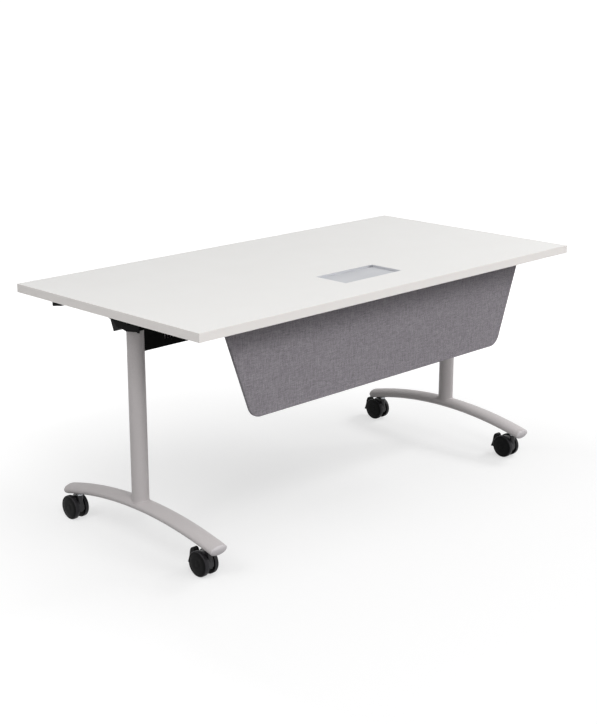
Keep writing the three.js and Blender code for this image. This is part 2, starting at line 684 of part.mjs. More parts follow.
// Hinge bracket under the top, with the release lever, its pin and its spring
function hingeBracket(place, side) {
  const group = new THREE.Group();
  group.position.x = side * COLUMN_X;
  const pinY = LEVER_PIN_REAR;
  const pinZ = PIVOT_Z + LEVER_PIN_RISE;
  const plateHalf = PLATE_WIDTH / 2;
  const cheekTop = PLATE_BOTTOM + LAP;
  const cheekBottom = PIVOT_Z - CHEEK_DROP;

  // Outboard cheek: deep in front with a tab at the corner, stepped up behind for the lever's handle.
  const outboard = new THREE.Shape();
  const tabRear = CHEEK_TAB - CHEEK_FRONT;
  const frontBottom = cheekBottom + CHEEK_RISE;
  outboard.moveTo(-CHEEK_FRONT, cheekTop);
  outboard.lineTo(-CHEEK_FRONT, frontBottom - CHEEK_TAB_DROP);
  outboard.lineTo(tabRear, frontBottom - CHEEK_TAB_DROP);
  outboard.lineTo(tabRear, frontBottom);
  outboard.lineTo(CHEEK_STEP, cheekBottom);
  CHEEK_ARM.forEach(([y, z]) => outboard.lineTo(y, PIVOT_Z + z));
  outboard.lineTo(CHEEK_REAR, cheekTop);
  // Inboard cheek: a round lug about the pivot pin and an arm to the lever's pin.
  const inboard = new THREE.Shape();
  inboard.moveTo(-LUG_RADIUS, cheekTop);
  inboard.lineTo(-LUG_RADIUS, PIVOT_Z);
  inboard.absarc(0, PIVOT_Z, LUG_RADIUS, Math.PI, 2 * Math.PI, false);
  inboard.lineTo(pinY + LEVER_HUB_RADIUS, PIVOT_Z);
  inboard.lineTo(pinY + LEVER_HUB_RADIUS, cheekTop);
  const bracket = cut(
    join(
      box(-plateHalf, plateHalf, -PLATE_FRONT, PLATE_REAR, PLATE_BOTTOM, PLATE_TOP),
      alongX(outboard, side * CHEEK_INNER, side * CHEEK_OUTER, 4),
      alongX(inboard, -side * CHEEK_INNER, -side * CHEEK_OUTER),
    ),
    rodX(PIVOT_RADIUS + PIN_GAP, -plateHalf, plateHalf, 0, PIVOT_Z),
    rodX(LEVER_PIN_RADIUS + PIN_GAP, -plateHalf, plateHalf, pinY, pinZ, SIDES.small),
  );
  piece(group, `hinge_bracket_${place}`, bracket, "black_steel");

  const pinHalf = CHEEK_OUTER + LAP;
  const leverPin = rodX(LEVER_PIN_RADIUS, -pinHalf, pinHalf, pinY, pinZ, SIDES.small);
  piece(group, `lever_pin_${place}`, leverPin, "black_steel");

  // Lever: a hooked handle, a hub on the pin, and a tooth that points at the pivot head.
  const half = LEVER_WIDTH / 2;
  const handle = outline(LEVER_HANDLE.map(([y, z]) => [pinY + y, pinZ + z]));
  const toothFoot = pinZ - LEVER_TOOTH_DROP;
  const toothTip = Math.sqrt((HEAD_RADIUS + LEVER_TOOTH_GAP) ** 2 - (toothFoot - PIVOT_Z) ** 2);
  const springHalf = (SPRING_PITCH * SPRING_TURNS) / 2 + SPRING_WIRE + SPRING_ROOM;
  const lever = cut(
    join(
      alongX(handle, -half, half),
      rodX(LEVER_HUB_RADIUS, -half, half, pinY, pinZ),
      box(-half, half, toothTip, pinY, toothFoot, toothFoot + LEVER_TOOTH_HEIGHT),
    ),
    rodX(LEVER_PIN_RADIUS + PIN_GAP, -LEVER_WIDTH, LEVER_WIDTH, pinY, pinZ, SIDES.small),
    box(
      -springHalf,
      springHalf,
      pinY - LEVER_HUB_RADIUS,
      pinY + 2 * LEVER_HUB_RADIUS,
      pinZ - LEVER_HUB_RADIUS - SPRING_ROOM,
      pinZ + LEVER_HUB_RADIUS + LAP,
    ),
  );
  piece(group, `release_lever_${place}`, lever, "black_plastic");
  piece(group, `lever_spring_${place}`, leverSpring().translate(0, pinY, pinZ), "steel");
  return group;
}

// Rubber bumper that meets the next table when the tops are flipped
function nestingBumper(place, side) {
  const group = new THREE.Group();
  const top = UNDERSIDE - SEAT_GAP;
  const bottom = top - BUMPER_HEIGHT;
  const front = BUMPER_REAR - BUMPER_LENGTH;
  const noseBottom = bottom + BUMPER_TILT;
  const shape = new THREE.Shape();
  shape.moveTo(front, top);
  shape.quadraticCurveTo(front, noseBottom, front + BUMPER_NOSE, noseBottom);
  shape.lineTo(BUMPER_REAR - BUMPER_HEEL, bottom);
  shape.quadraticCurveTo(BUMPER_REAR, bottom, BUMPER_REAR, bottom + BUMPER_HEEL);
  shape.lineTo(BUMPER_REAR, top);
  const x = side * (TOP_LENGTH / 2 - BUMPER_INSET);
  piece(
    group,
    `nesting_bumper_${place}`,
    alongX(shape, x - BUMPER_WIDTH / 2, x + BUMPER_WIDTH / 2, 5),
    "black_plastic",
  );
  return group;
}

// Twin-wheel caster about its stem, with the axle trailing to the rear
function caster(place, x, y, braked) {
  const group = new THREE.Group();
  group.position.set(x, y, 0);
  const cowlHalf = COWL_WIDTH / 2;
  const axleY = CASTER_TRAIL;
  const axleZ = WHEEL_RADIUS;

  const stem = [
    [0, STEM_BOTTOM],
    [STEM_RADIUS, STEM_BOTTOM],
    [STEM_RADIUS, NECK_TOP + SEAT_GAP],
    [NECK_RADIUS, NECK_TOP + SEAT_GAP],
    [NECK_RADIUS, COLLAR_TOP],
    [STEM_RADIUS, COLLAR_TOP],
    [STEM_RADIUS, COLLAR_TOP + STEM_GRIP],
    [0, COLLAR_TOP + STEM_GRIP],
  ];
  piece(group, `caster_stem_${place}`, turnedZ(stem, SIDES.pin), "steel");

  // Swivel body: a cowl between the wheels, a neck round the stem and a hub round the axle.
  const cowl = new THREE.Shape();
  cowl.absarc(axleY, axleZ, COWL_RADIUS, ...COWL_ANGLES.map(THREE.MathUtils.degToRad), false);
  cowl.lineTo(axleY, axleZ - COWL_HUB_RADIUS);
  cowl.lineTo(axleY + COWL_HUB_RADIUS, axleZ);
  const [pedalY, pedalZ] = [axleY + PEDAL_PIN_AT[0], axleZ + PEDAL_PIN_AT[1]];
  const earLength = Math.hypot(...PEDAL_PIN_AT);
  const earTurn = Math.atan2(PEDAL_PIN_AT[1], PEDAL_PIN_AT[0]);
  const earHalf = PEDAL_EAR_WIDTH / 2;
  const arm = (width, halfWidth, start) => {
    const bar = box(-halfWidth, halfWidth, start, earLength, -width / 2, width / 2);
    return bar.rotateX(earTurn).translate(0, axleY, axleZ);
  };
  const parts = [
    alongX(cowl, -cowlHalf, cowlHalf, 6),
    rodX(COWL_HUB_RADIUS, -cowlHalf, cowlHalf, axleY, axleZ, SIDES.small),
    rodZ(NECK_RADIUS, NECK_BOTTOM, NECK_TOP, 0, 0),
  ];
  const holes = [
    rodX(AXLE_RADIUS + PIN_GAP, -CASTER_WIDTH, CASTER_WIDTH, axleY, axleZ, SIDES.small),
    rodZ(STEM_RADIUS + PIN_GAP, STEM_BOTTOM - SEAT_GAP, NECK_TOP + LAP, 0, 0),
  ];
  if (braked) {
    parts.push(arm(2 * PEDAL_EAR_RADIUS, earHalf, 0));
    parts.push(rodX(PEDAL_EAR_RADIUS, -earHalf, earHalf, pedalY, pedalZ, SIDES.small));
    holes.push(rodX(PEDAL_PIN_RADIUS + PIN_GAP, -COWL_WIDTH, COWL_WIDTH, pedalY, pedalZ, SIDES.small));
  }
  piece(group, `caster_body_${place}`, cut(join(...parts), ...holes), "black_plastic");

  const wheelInner = cowlHalf + SIDE_GAP;
  const axleHalf = wheelInner + WHEEL_BORE_DEPTH - SEAT_GAP;
  piece(
    group,
    `caster_axle_${place}`,
    rodX(AXLE_RADIUS, -axleHalf, axleHalf, axleY, axleZ, SIDES.small),
    "steel",
  );

  // A flat facet of the tread lies on the floor.
  const tread = WHEEL_RADIUS / Math.cos(Math.PI / SIDES.wheel);
  const wheel = [
    [0, WHEEL_BORE_DEPTH],
    [AXLE_RADIUS + PIN_GAP, WHEEL_BORE_DEPTH],
    [AXLE_RADIUS + PIN_GAP, 0],
    [tread, 0],
    [tread, WHEEL_WIDTH - WHEEL_BEVEL],
    [tread - WHEEL_BEVEL, WHEEL_WIDTH],
    [0, WHEEL_WIDTH],
  ];
  [["left", -1], ["right", 1]].forEach(([end, sign]) => {
    const made = turnedX(wheel, SIDES.wheel, Math.PI / SIDES.wheel);
    if (sign < 0) made.rotateZ(Math.PI);
    made.translate(sign * wheelInner, axleY, axleZ);
    piece(group, `caster_wheel_${place}_${end}`, made, "tread");
  });

  if (braked) {
    const pedalShape = new THREE.Shape();
    pedalShape.moveTo(...PEDAL.toe);
    pedalShape.lineTo(...PEDAL.sole);
    pedalShape.lineTo(...PEDAL.tip);
    pedalShape.quadraticCurveTo(...PEDAL.front, ...PEDAL.shoulder);
    pedalShape.quadraticCurveTo(...PEDAL.crownFront, ...PEDAL.crown);
    pedalShape.quadraticCurveTo(...PEDAL.crownBack, ...PEDAL.back);
    pedalShape.lineTo(...PEDAL.waist);
    const pedalHalf = PEDAL_WIDTH / 2;
    const slotHalf = earHalf + SIDE_GAP / 2;
    const slotRadius = PEDAL_EAR_RADIUS + PEDAL_SLOT_MARGIN;
    const fork = cut(
      alongX(pedalShape, -pedalHalf, pedalHalf, 4).translate(0, axleY, axleZ),
      arm(2 * slotRadius, slotHalf, 0),
      rodX(slotRadius, -slotHalf, slotHalf, pedalY, pedalZ, SIDES.small),
    );
    const pin = rodX(PEDAL_PIN_RADIUS, -pedalHalf, pedalHalf, pedalY, pedalZ, SIDES.small);
    piece(group, `brake_pedal_${place}`, join(fork, pin), "black_plastic");
  }
  return group;
}

table.add(tabletop(), powerRecess(), modestyPanel(), crossBeam());
for (const [place, side] of [["left", -1], ["right", 1]]) {
  table.add(leg(place, side), hingeBracket(place, side), nestingBumper(place, side));
  for (const [end, sign] of [["front", -1], ["rear", 1]]) {
    const braked = !(place === "left" && end === "rear");
    table.add(caster(`${place}_${end}`, side * COLUMN_X, sign * STEM_Y, braked));
  }
}
console.log(`least gap between turns of the lever spring: ${leastSpringGap().toFixed(2)} mm`);

export default table;
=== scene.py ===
"""Looks of a flip-top training table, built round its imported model. Metres, +Z up, -Y to the front."""
import json
import math

import bmesh
import bpy
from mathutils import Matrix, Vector


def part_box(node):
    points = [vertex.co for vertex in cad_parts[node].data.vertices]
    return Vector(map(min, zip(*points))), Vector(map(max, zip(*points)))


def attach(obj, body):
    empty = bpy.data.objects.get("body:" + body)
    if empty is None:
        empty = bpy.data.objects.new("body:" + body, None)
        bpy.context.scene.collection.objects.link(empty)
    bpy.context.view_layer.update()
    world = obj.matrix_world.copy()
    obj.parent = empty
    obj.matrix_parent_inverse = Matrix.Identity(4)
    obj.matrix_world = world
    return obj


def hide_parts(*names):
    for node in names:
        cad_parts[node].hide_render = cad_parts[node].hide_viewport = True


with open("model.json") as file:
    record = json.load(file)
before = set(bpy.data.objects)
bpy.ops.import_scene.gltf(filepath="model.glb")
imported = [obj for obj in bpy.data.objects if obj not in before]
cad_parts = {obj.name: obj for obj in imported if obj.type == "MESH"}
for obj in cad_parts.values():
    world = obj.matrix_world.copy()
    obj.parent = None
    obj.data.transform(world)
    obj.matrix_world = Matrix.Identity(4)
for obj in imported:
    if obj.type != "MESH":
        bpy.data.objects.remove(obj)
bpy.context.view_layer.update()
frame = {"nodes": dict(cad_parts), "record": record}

MM = 0.001
NODES = frame["nodes"]
SLOT_OF = {part["node"]: part["material_slot"] for part in frame["record"]["subparts"]}
BODY_OF = {name: body for body, names in frame["record"]["behaviour"]["bodies"].items() for name in names}
SIDES = ("left", "right")
CASTERS = ("left_front", "left_rear", "right_front", "right_rear")

# Camera of the photograph
CAMERA_AT = (-3.0378, -2.9882, 1.6387)
CAMERA_AZIMUTH = -45.022
CAMERA_ELEVATION = 15.988
CAMERA_REACH = 200.0
FOCAL_PIXELS = 1407.0
FRAME_HEIGHT_PIXELS = 724
SENSOR_MM = 36.0

# Studio. A lamp has a name, a place, an aim, a size and a power in watts.
AMBIENT = (0.06, 0.38)  # of the sky at the horizon and overhead
FLOOR_HALF = 60.0
FLOOR_TONE = 0.42
FLOOR_GLOW = (0.557, 0.97)  # part of the floor's white that shadows don't reach, near and far
GLOW_CENTRE = (0.0, -0.83, 0.0)
GLOW_REACH = (0.98, 2.97)  # distances from the centre for near and far
LAMPS = (
    ("overhead", (-0.6, 0.9, 4.6), (0.0, 0.0, 0.0), (6.5, 6.5), 4),
    ("front_high", (1.0, -4.5, 3.8), (0.0, 0.0, 0.4), (4.0, 3.0), 118),
    ("camera_side", (-2.6, -3.6, 4.2), (0.0, 0.0, 0.4), (1.8, 1.6), 82),
    ("right", (3.8, -1.0, 3.4), (0.0, 0.0, 0.4), (1.8, 1.6), 82),
    ("left", (-3.6, -0.4, 3.1), (0.0, 0.0, 0.5), (1.8, 1.6), 42),
)

# Coated finishes: sRGB colour, roughness, grain and its depth in mm, spread of the colour, shine
COATED = {
    "laminate": ((229, 228, 226), 0.42, 0.7, 0.03, 0.008, 0.5),
    "edge_band": ((242, 238, 235), 0.5, 0.5, 0.04, 0.012, 0.4),
    "black_steel": ((7, 7, 7), 0.55, 0.9, 0.1, 0.15, 0.05),
    "black_plastic": ((12, 12, 13), 0.45, 0.45, 0.06, 0.12, 0.1),
    "bumper_rubber": ((14, 14, 14), 0.8, 0.5, 0.08, 0.12, 0.15),
    "wheel_plastic": ((10, 10, 11), 0.33, 0.6, 0.03, 0.1, 0.08),
    # wheel rim: a lighter copy of wheel_plastic, a painted highlight where the tread catches the light
    "wheel_rim_painted_highlight": ((40, 39, 42), 0.5, 0.5, 0.05, 0.1, 0.2),
    # caster cowl: a lighter, shinier copy of black_plastic; the lighter colour is a painted highlight
    "cowl_painted_highlight": ((36, 35, 38), 0.34, 0.6, 0.03, 0.1, 0.4),
}
COATED_GLOSS_SPREAD = 0.06

# Brushed metals: sRGB colour, roughness, lines per metre along X, Y and Z, metallic part
BRUSHED = {
    "recess_metal": ((190, 191, 195), 0.45, (18, 900, 900), 0.55),
    "recess_rim": ((206, 207, 210), 0.36, (160, 900, 900), 0.7),
    "bright_steel": ((176, 178, 182), 0.3, (500, 500, 40), 1.0),
}

# Metallic paints: sRGB colour, roughness
PAINTED = {
    "silver_paint": ((199, 194, 194), 0.45),
    "silver_plastic": ((203, 199, 201), 0.48),
}
FLAKES_PER_METRE = 1600.0
PEBBLES_PER_METRE = 450.0

# Heather cloth: sRGB colours of the darkest and lightest yarn
CLOTH_DARK = (109, 104, 110)
CLOTH_LIGHT = (180, 175, 181)
CLOTH_SHEEN = (0.8, 0.78, 0.82, 1)
THREAD = 1.1 * MM
SLUB = 22 * MM  # length of a streak along one yarn
FUZZ_PER_METRE = 2500.0

# Edges: angles in degrees from which one is sharp, and rounding of CAD nodes that stay, in mm
SHARP = 32
SHARP_MOULDED = 40
SHARP_ROUND = 60  # for round shapes with wide facets
NODE_ROUNDING = {
    "top_board": 0.15, "edge_band": 0.6, "recess_frame": 0.35, "recess_lid": 0.5, "power_box": 0.4,
    "outlet_block": 1.0, "hinge_bracket": 0.5, "release_lever": 1.2, "nesting_bumper": 1.6,
    "panel_hinge": 0.5, "panel_knuckle": 0.5, "pivot_head": 1.2, "cross_beam": 0.8,
}

# Legs
FOOT_RADIUS = 1340 * MM
FOOT_HEIGHT = 31 * MM
FOOT_SEGMENTS = 56
FOOT_STEPS = 72
CAP_SEAM = ((0.985, 0.3 * MM), (1.0, 0.7 * MM))  # share of the foot's section, and distance from its end
CAP_DEGREES = range(6, 88, 6)
COLUMN_RADIUS = 25 * MM
COLUMN_LIP = 0.6 * MM
COLUMN_BORE = 23 * MM
COLUMN_BORE_DEPTH = 30 * MM
COLUMN_SEGMENTS = 96
WELD_RADIUS = 1.7 * MM
WELD_SHIFT = 0.34 * MM
WELD_SEGMENTS = 10

# Wheels: radius and distance from the inner face, in mm
WHEEL_PROFILE = (
    (3.2, 0.4), (30.0, 0.4), (35.6, 0.2), (36.9, 0.7), (37.45, 1.9), (37.5, 5.5), (37.45, 10.4),
    (37.1, 12.0), (36.3, 13.2), (35.1, 14.1), (33.8, 14.5), (32.6, 14.5), (32.2, 14.1), (32.0, 13.5),
    (31.6, 13.5), (31.4, 14.0), (30.9, 14.3), (20.0, 14.45), (10.4, 14.5), (10.1, 14.0), (9.8, 14.0),
    (9.5, 14.5), (6.0, 14.9), (1.0, 15.0),
)
WHEEL_SEGMENTS = 72
# Rim faces beyond this radius take the lighter rim material, a painted highlight
TREAD_START = 33.5 * MM
TREAD_LEAN = 0.9  # a face whose normal points along the axle by this much is not tread

# Caster bodies: a cowl round the axle, with angles in degrees from the rear, and a neck round the stem
COWL_RADIUS = 34 * MM
COWL_ANGLES = (70, 190)
COWL_STEPS = 20
COWL_HUB = 10 * MM
COWL_HUB_ANGLES = (215, 360)
COWL_HUB_STEPS = 10
COWL_BEVEL = 1.2 * MM
NECK_RADIUS = 8.5 * MM
NECK_LIP = 0.9 * MM
NECK_BORE = 5.4 * MM
NECK_BORE_FLOOR = 30 * MM  # above the body's bottom
NECK_SEGMENTS = 40

# Brake pedals, from the axle. The side view in mm is a toe, then a control point and an end for each curve.
PEDAL_PIN = Vector((0, 33 * MM, 22 * MM))
PEDAL_EAR_RADIUS = 6 * MM
PEDAL_EAR_HALF = 3.5 * MM
PEDAL_EAR_STEPS = 10
PEDAL_TOE = (36, -10)
PEDAL_CURVES = (
    ((47, -16), (58, -14)),
    ((50, 3), (49, 17)),
    ((46, 35), (36, 35)),
    ((28, 35), (26, 24)),
    ((34, 0), (36, -10)),
)
PEDAL_CURVE_STEPS = 6
PEDAL_TOE_POINTS = 11  # of the side view that the solid toe takes
PEDAL_TOE_BACK = ((42, 8), (36, 0))
PEDAL_CROWN = 30  # height from which the crown is solid
PEDAL_HALF = 8.5 * MM
PEDAL_CHEEK = 4.2 * MM  # inner face of a cheek from the middle
PEDAL_LAP = 0.4 * MM
PEDAL_BEVEL = 0.9 * MM
RIDGE_START = (56.2 * MM, -9.5 * MM)
RIDGE_STEP = (-1.45 * MM, 4.2 * MM)
RIDGE_COUNT = 4
RIDGE_RADIUS = 1.0 * MM
RIDGE_INSET = 1.5 * MM

# Modesty panel
PANEL_BOTTOM_HALF = 544 * MM
PANEL_CORNER = 45 * MM
PANEL_CORNER_STEPS = 14
PANEL_SHARP = 25
PANEL_SOFT_EDGE = 2.6 * MM
PANEL_SOFT_STEPS = 4
NOTCH_MARGIN = 10.5 * MM
NOTCH_DEPTH = 16 * MM

# Springs on the lever pins
SPRING_TURNS = 4
SPRING_PITCH = 2.4 * MM
SPRING_WIRE = 1.2 * MM
SPRING_RADIUS = 4 * MM
SPRING_STEPS = 32
WIRE_SEGMENTS = 10

# Grip ribs on the levers, from the lever's pin
GRIP_START = (15.5 * MM, -25.5 * MM)
GRIP_STEP = (-1.86 * MM, -4.5 * MM)
GRIP_COUNT = 5
GRIP_RADIUS = 1.1 * MM
GRIP_INSET = 4 * MM

# Sockets on the outlet block: half width, half height and corner of a face, and its lower and upper level
OUTLET_BEVEL = 18 * MM
SOCKET_PITCH = 66 * MM
SOCKET_FACE = (17 * MM, 8 * MM, 3 * MM)
SOCKET_LEVELS = (0.0, 0.9 * MM)
SOCKET_BEVEL = 0.3 * MM
SLIT_ASIDE = 5.5 * MM
SLIT_FACE = (1.0 * MM, 3.6 * MM, 0.9 * MM)
SLIT_LEVELS = (0.5 * MM, 1.0 * MM)
SOCKET_CORNER_STEPS = 5

# Plates behind the beam's cable slots, from the beam's front and bottom
SLOT_BACK_X = 568 * MM
SLOT_BACK_HALF = 38 * MM
SLOT_BACK_HEIGHTS = (17 * MM, 47 * MM)
SLOT_BACK_DEPTH = 9 * MM
SLOT_BACK_THICKNESS = 1.2 * MM
SLOT_BACK_BEVEL = 0.3 * MM

# Screws: radius and rise of the head, and places from the edges of what they hold
DOWN = (0, 0, -1)
REAR = (0, 1, 0)
BRACKET_SCREW = (4.2 * MM, 2.6 * MM)
BRACKET_SCREW_ASIDE = 33 * MM
BRACKET_SCREW_FRONT = 12 * MM
BRACKET_SCREW_REAR = 9 * MM
BRACKET_PLATE = 3 * MM
HINGE_SCREW = (3.6 * MM, 2.2 * MM)
HINGE_SCREW_INSET = 8 * MM
HINGE_LEAF = 2.5 * MM
SMALL_SCREW = (3.4 * MM, 2.2 * MM)
STRAP_SCREW_ASIDE = 9 * MM
STRAP_SCREW_HEIGHT = 10 * MM
FRAME_SCREW_PITCH = 100 * MM
FRAME_SCREW_INSET = 5 * MM
FRAME_FLANGE = 2.5 * MM

# Rings of a screw from its seat to its socket's floor: shares of the radius and rise, and if it is a hexagon
SCREW_RINGS = (
    (1.0, 0.0, False), (1.0, 0.45, False), (0.93, 0.75, False), (0.78, 0.94, False), (0.6, 1.0, False),
    (0.46, 1.0, True), (0.44, 0.96, True), (0.42, 0.35, True), (0.1, 0.3, False),
)
SCREW_SEGMENTS = 24

# Ribs are twelve-sided bars.
RIB_TURN = 330
RIB_STEPS = 11


# Shader nodes
def feed(tree, socket, value):
    """Sets a socket to a value, or links another socket to it."""
    if isinstance(value, bpy.types.NodeSocket):
        tree.links.new(value, socket)
    else:
        socket.default_value = value


def add(tree, kind, inputs=None, **settings):
    """A new node with its settings and inputs."""
    made = tree.nodes.new(kind)
    for key, value in settings.items():
        setattr(made, key, value)
    for key, value in (inputs or {}).items():
        feed(tree, made.inputs[key], value)
    return made


def new_material(name, **sockets):
    """A material with a Principled shader whose plain values are set on its own sockets."""
    material = bpy.data.materials.new(name)
    material.use_nodes = True
    tree = material.node_tree
    shader = tree.nodes["Principled BSDF"]
    for key, value in sockets.items():
        shader.inputs[key.replace("_", " ")].default_value = value
    return material, tree, shader


def place(tree, scale=(1, 1, 1)):
    """Coordinates in metres on the object, stretched by scale."""
    coords = add(tree, "ShaderNodeTexCoord").outputs["Object"]
    return add(tree, "ShaderNodeMapping", {"Vector": coords, "Scale": scale}).outputs["Vector"]


def noise(tree, where, per_metre, detail=3.0, roughness=0.55):
    inputs = {"Vector": where, "Scale": per_metre, "Detail": detail, "Roughness": roughness}
    return add(tree, "ShaderNodeTexNoise", inputs).outputs["Fac"]


def spread(tree, value, low, high, start=0.3, stop=0.7):
    """A value mapped from start..stop to low..high."""
    inputs = {"Value": value, "From Min": start, "From Max": stop, "To Min": low, "To Max": high}
    return add(tree, "ShaderNodeMapRange", inputs).outputs["Result"]


def math_node(tree, operation, first, second=0.0):
    return add(tree, "ShaderNodeMath", {0: first, 1: second}, operation=operation).outputs["Value"]


def mixed(tree, factor, first, second):
    """A colour between two others."""
    made = add(tree, "ShaderNodeMix", data_type="RGBA")
    for key, value in {"Factor": factor, "A": first, "B": second}.items():
        socket = next(s for s in made.inputs if s.name == key and (key == "Factor" or s.type == "RGBA"))
        feed(tree, socket, value)
    return next(s for s in made.outputs if s.type == "RGBA")


def bump(tree, height, depth, strength=1.0, below=None):
    inputs = {"Height": height, "Distance": depth, "Strength": strength}
    if below is not None:
        inputs["Normal"] = below
    return add(tree, "ShaderNodeBump", inputs).outputs["Normal"]


def seen_directly(tree):
    """1 for camera, glossy and transmission rays, 0 for rays that light other surfaces."""
    path = add(tree, "ShaderNodeLightPath").outputs
    seen = math_node(tree, "MAXIMUM", path["Is Camera Ray"], path["Is Glossy Ray"])
    return math_node(tree, "MAXIMUM", seen, path["Is Transmission Ray"])


def rgb(red, green, blue):
    """Linear colour of an sRGB colour given from 0 to 255."""
    def linear(value):
        value /= 255
        return value / 12.92 if value <= 0.04045 else ((value + 0.055) / 1.055) ** 2.4
    return (linear(red), linear(green), linear(blue), 1.0)


def shade(colour, factor):
    return tuple(min(1.0, channel * factor) for channel in colour[:3]) + (1.0,)


# Materials
def coated(name, colour, roughness, grain, depth, spread_by, shine):
    """Paint, laminate or moulded plastic: a fine grain in relief, with slight clouds in colour and gloss."""
    material, tree, shader = new_material(name, Specular_IOR_Level=shine)
    where = place(tree)
    clouds = noise(tree, where, per_metre=9.0, detail=4.0)
    fine = noise(tree, where, per_metre=1 / (grain * MM), detail=2.0)
    both = math_node(tree, "MULTIPLY_ADD", clouds, 0.6)
    tree.links.new(fine, both.node.inputs[2])
    tone = spread(tree, both, 0.0, 1.0, 0.5, 1.15)
    dark, light = shade(rgb(*colour), 1 - spread_by), shade(rgb(*colour), 1 + spread_by)
    gloss = spread(tree, clouds, roughness - COATED_GLOSS_SPREAD, roughness + COATED_GLOSS_SPREAD)
    tree.links.new(mixed(tree, tone, dark, light), shader.inputs["Base Color"])
    tree.links.new(gloss, shader.inputs["Roughness"])
    tree.links.new(bump(tree, fine, depth * MM), shader.inputs["Normal"])
    return material


def metallic_paint(name, colour, roughness):
    """Silver powder coat: small flakes that catch the light, under a slightly pebbled skin."""
    material, tree, shader = new_material(name, Metallic=0.05, Specular_IOR_Level=0.25)
    where = place(tree)
    flakes = add(tree, "ShaderNodeTexVoronoi", {"Vector": where, "Scale": FLAKES_PER_METRE}, feature="F1")
    tone = add(tree, "ShaderNodeSeparateColor", {"Color": flakes.outputs["Color"]}).outputs["Red"]
    pebble = noise(tree, where, PEBBLES_PER_METRE, detail=2.0)
    clouds = noise(tree, where, per_metre=7.0)
    colours = mixed(tree, tone, shade(rgb(*colour), 0.9), shade(rgb(*colour), 1.1))
    tree.links.new(colours, shader.inputs["Base Color"])
    gloss = math_node(tree, "ADD", spread(tree, tone, -0.04, 0.04, 0, 1), spread(tree, clouds, -0.03, 0.03))
    tree.links.new(math_node(tree, "ADD", gloss, roughness), shader.inputs["Roughness"])
    skin = bump(tree, pebble, 0.06 * MM)
    tree.links.new(bump(tree, tone, 0.01 * MM, 0.5, skin), shader.inputs["Normal"])
    return material


def brushed(name, colour, roughness, lines_per_metre, metallic):
    """Satin metal with fine lines along one direction."""
    material, tree, shader = new_material(name, Metallic=metallic, Anisotropic=0.4)
    lines = noise(tree, place(tree, lines_per_metre), per_metre=1.0, roughness=0.7)
    clouds = noise(tree, place(tree), per_metre=14.0)
    dark, light = shade(rgb(*colour), 0.93), shade(rgb(*colour), 1.05)
    tree.links.new(mixed(tree, spread(tree, lines, 0, 1), dark, light), shader.inputs["Base Color"])
    gloss = math_node(tree, "ADD", spread(tree, lines, -0.06, 0.06), spread(tree, clouds, -0.03, 0.03))
    tree.links.new(math_node(tree, "ADD", gloss, roughness), shader.inputs["Roughness"])
    tree.links.new(bump(tree, lines, 0.03 * MM, 0.6), shader.inputs["Normal"])
    return material


def woven(name, dark, light):
    """Heather cloth: warp along Z and weft along X, each thread of its own mixed yarn."""
    material, tree, shader = new_material(
        name, Specular_IOR_Level=0.15, Sheen_Weight=0.2, Sheen_Roughness=0.5, Roughness=0.92
    )
    shader.inputs["Sheen Tint"].default_value = CLOTH_SHEEN
    axes = add(tree, "ShaderNodeSeparateXYZ", {"Vector": place(tree)})
    across = math_node(tree, "MULTIPLY", axes.outputs["X"], math.pi / THREAD)
    along = math_node(tree, "MULTIPLY", axes.outputs["Z"], math.pi / THREAD)
    weave = math_node(tree, "MULTIPLY", math_node(tree, "SINE", across), math_node(tree, "SINE", along))
    warp_on_top = math_node(tree, "GREATER_THAN", weave, 0.0)
    knuckle = math_node(tree, "POWER", math_node(tree, "ABSOLUTE", weave), 0.6)
    warp = noise(tree, place(tree, (1 / THREAD, 1, 1 / SLUB)), per_metre=1.0, detail=2.0, roughness=0.6)
    weft = noise(tree, place(tree, (1 / SLUB, 1, 1 / THREAD)), per_metre=1.0, detail=2.0, roughness=0.6)
    yarn = add(tree, "ShaderNodeMix", {"Factor": warp_on_top, "A": weft, "B": warp}).outputs["Result"]
    clouds = noise(tree, place(tree, (1, 1, 0.45)), per_metre=190.0, roughness=0.6)
    tone = math_node(tree, "ADD", spread(tree, yarn, 0.0, 0.9), spread(tree, clouds, -0.06, 0.14))
    colour = mixed(tree, tone, rgb(*dark), rgb(*light))
    # The colour is darkened in the gaps between threads: painted shade.
    gap_painted_shade = spread(tree, knuckle, 0.62, 1.0, 0.0, 0.5)
    colour_with_painted_shade = add(tree, "ShaderNodeVectorMath", {0: colour, "Scale": gap_painted_shade}, operation="SCALE")
    tree.links.new(colour_with_painted_shade.outputs["Vector"], shader.inputs["Base Color"])
    fuzz = bump(tree, noise(tree, place(tree), FUZZ_PER_METRE, detail=2.0), 0.08 * MM)
    tree.links.new(bump(tree, knuckle, 0.25 * MM, 0.8, fuzz), shader.inputs["Normal"])
    return material


def make_materials():
    """One material for each slot of the record, and some for parts of a slot: a lighter, more metallic copy
    for the recess frame, and lighter copies for the wheel rims and caster cowls as painted highlights.
    """
    made = {name: coated(name, *values) for name, values in COATED.items()}
    made.update({name: brushed(name, *values) for name, values in BRUSHED.items()})
    made.update({name: metallic_paint(name, *values) for name, values in PAINTED.items()})
    made["panel_fabric"] = woven("panel_fabric", CLOTH_DARK, CLOTH_LIGHT)
    return made


# Meshes: points in metres in the shared frame, and faces between rings of points
def turns(count):
    """Angles of a full turn in equal steps."""
    return [2 * math.pi * k / count for k in range(count)]


def loft(rings, closed=False):
    """A skin over rings of points, with flat ends unless it closes on itself."""
    size, count = len(rings[0]), len(rings)
    points = [tuple(point) for ring in rings for point in ring]
    faces = []
    for i in range(count if closed else count - 1):
        here, there = i * size, (i + 1) % count * size
        faces += [(here + k, here + (k + 1) % size, there + (k + 1) % size, there + k) for k in range(size)]
    if not closed:
        faces.append(tuple(reversed(range(size))))
        faces.append(tuple(range((count - 1) * size, count * size)))
    return points, faces


